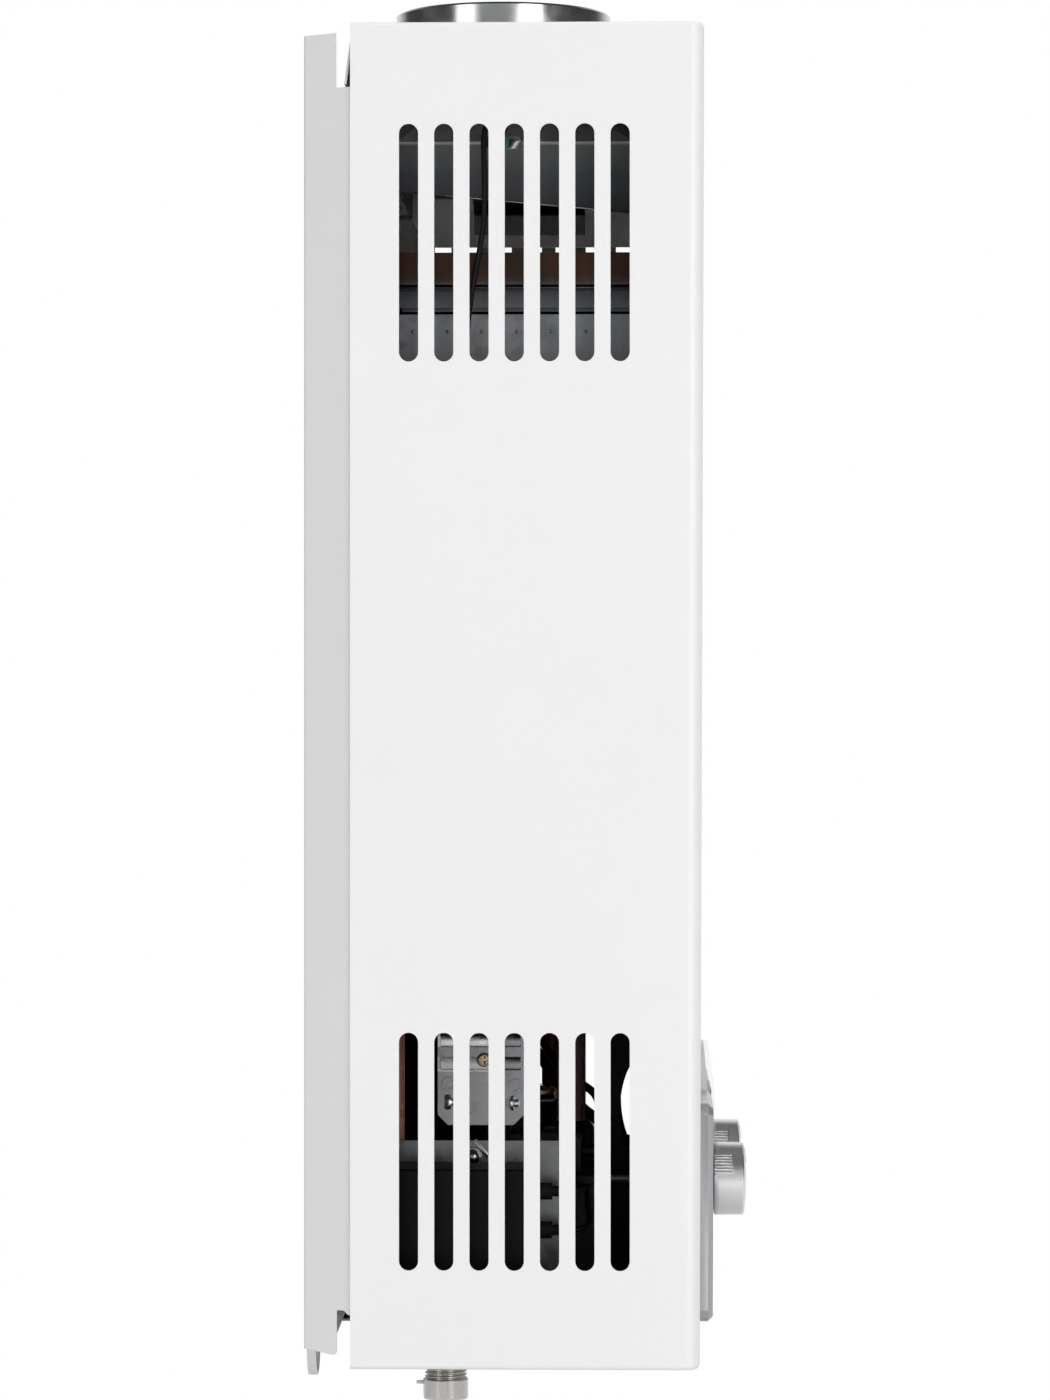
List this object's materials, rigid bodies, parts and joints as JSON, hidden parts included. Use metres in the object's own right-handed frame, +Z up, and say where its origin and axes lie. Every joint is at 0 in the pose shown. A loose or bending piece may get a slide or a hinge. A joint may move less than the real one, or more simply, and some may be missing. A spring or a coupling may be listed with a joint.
{
  "type": "wall-hung propane water heater",
  "caption": "Slim wall-hung gas water heater: slotted folded cover on a flanged rear panel, round flue collar, control knobs and display in front, threaded connections below.",
  "frame": {"origin": "on the wall plane at mid-width, level with the lower edge of the cover", "axes": "+X to the right as seen from the front, +Y from the front into the wall, +Z up"},
  "size_m": [0.38, 0.2236, 0.6989],
  "materials": {
    "cover_white": "white powder coat",
    "panel_white": "white powder coat",
    "flue_steel": "polished",
    "galvanised": "zinc coated",
    "copper": "bare copper",
    "burner_steel": "pressed stainless steel",
    "cast_alloy": "die cast",
    "brass": "machined",
    "nickel": "nickel plated",
    "zinc_screws": "zinc plated",
    "black_plastic": "moulded",
    "black_rubber": "moulded",
    "valve_cover": "die cast",
    "stem_steel": "turned",
    "cap_plastic": "translucent",
    "drain_plastic": "moulded",
    "cell_jacket": "plain jacket",
    "contact_steel": "plated",
    "bezel_silver": "silver paint",
    "knob_silver": "satin metallised",
    "window_white": "clear over white",
    "board_dark": "circuit board and black housing",
    "ceramic": "glazed",
    "cutout_green": "moulded",
    "lead_black": "insulated"
  },
  "bodies": {
    "cabinet": {"battery_boots": "black_rubber", "battery_box": "black_plastic", "battery_bracket": "galvanised", "battery_cells": "cell_jacket", "battery_contacts": "contact_steel", "bend_shields": "copper", "burner_frame": "galvanised", "burners": "burner_steel", "chamber_coil": "copper", "chamber_jacket": "galvanised", "cold_inlet_fitting": "nickel", "cold_pipe": "copper", "control_bezel": "bezel_silver", "cover_screws": "zinc_screws", "diaphragm": "black_rubber", "diaphragm_cover": "valve_cover", "display_board": "board_dark", "display_window": "window_white", "electrode_bracket": "galvanised", "electrodes": "ceramic", "exchanger_casing": "copper", "exchanger_fins": "copper", "exchanger_frame": "galvanised", "exchanger_tubes": "copper", "exhaust_hood": "galvanised", "fitting_rail": "galvanised", "flue_baffle": "galvanised", "flue_collar": "flue_steel", "front_cover": "cover_white", "gas_inlet_fitting": "brass", "gas_jets": "brass", "gas_manifold": "cast_alloy", "gas_riser": "copper", "gas_valve_body": "cast_alloy", "hanger_screws": "zinc_screws", "hot_outlet_fitting": "nickel", "hot_pipe": "copper", "igniter_box": "black_plastic", "leads": "lead_black", "left_hanger": "galvanised", "lock_nuts": "brass", "lower_ear": "panel_white", "micro_switch": "black_plastic", "mount_brackets": "galvanised", "rear_panel": "panel_white", "right_hanger": "galvanised", "solenoid_valve": "black_plastic", "switch_bracket": "galvanised", "thermal_cutout": "cutout_green", "upper_hanger": "panel_white", "water_valve_body": "brass"},
    "flame_knob": {"flame_knob": "knob_silver", "flame_stem": "stem_steel"},
    "water_knob": {"water_knob": "knob_silver", "water_stem": "stem_steel"},
    "battery_door": {"battery_door": "black_plastic"},
    "outlet_cap": {"outlet_cap": "cap_plastic"},
    "drain_plug": {"drain_plug": "drain_plastic"},
    "push_rod": {"push_rod": "brass"},
    "switch_lever": {"switch_lever": "stem_steel"}
  },
  "joints": [
    {"name": "flame_knob_turn", "type": "hinge", "parent": "cabinet", "child": "flame_knob", "pos_m": [-0.0645, -0.2073, 0.0787], "axis": [0, -1, 0], "range_deg": [-135, 135]},
    {"name": "water_knob_turn", "type": "hinge", "parent": "cabinet", "child": "water_knob", "pos_m": [0.0645, -0.2073, 0.0787], "axis": [0, -1, 0], "range_deg": [-135, 135]},
    {"name": "battery_door_swing", "type": "hinge", "parent": "cabinet", "child": "battery_door", "pos_m": [-0.149, -0.052, 0.0009], "axis": [1, 0, 0], "range_deg": [0, 95]},
    {"name": "outlet_cap_pull", "type": "slide", "parent": "cabinet", "child": "outlet_cap", "axis": [0, 0, -1], "range_m": [0, 0.02]},
    {"name": "drain_plug_turn", "type": "hinge", "parent": "cabinet", "child": "drain_plug", "pos_m": [0.115, -0.104, 0], "axis": [0, 0, 1], "range_deg": [-720, 0]},
    {"name": "push_rod_slide", "type": "slide", "parent": "cabinet", "child": "push_rod", "axis": [-1, 0, 0], "range_m": [0, 0.004], "stiffness_N_per_m": 400},
    {"name": "switch_lever_swing", "type": "hinge", "parent": "cabinet", "child": "switch_lever", "pos_m": [0.0293, -0.118, 0.099], "axis": [0, 1, 0], "range_deg": [0, 16.1]}
  ],
  "couplings": [
    {"joint": "switch_lever_swing", "follows": "push_rod_slide", "rad_per_m": 70}
  ]
}
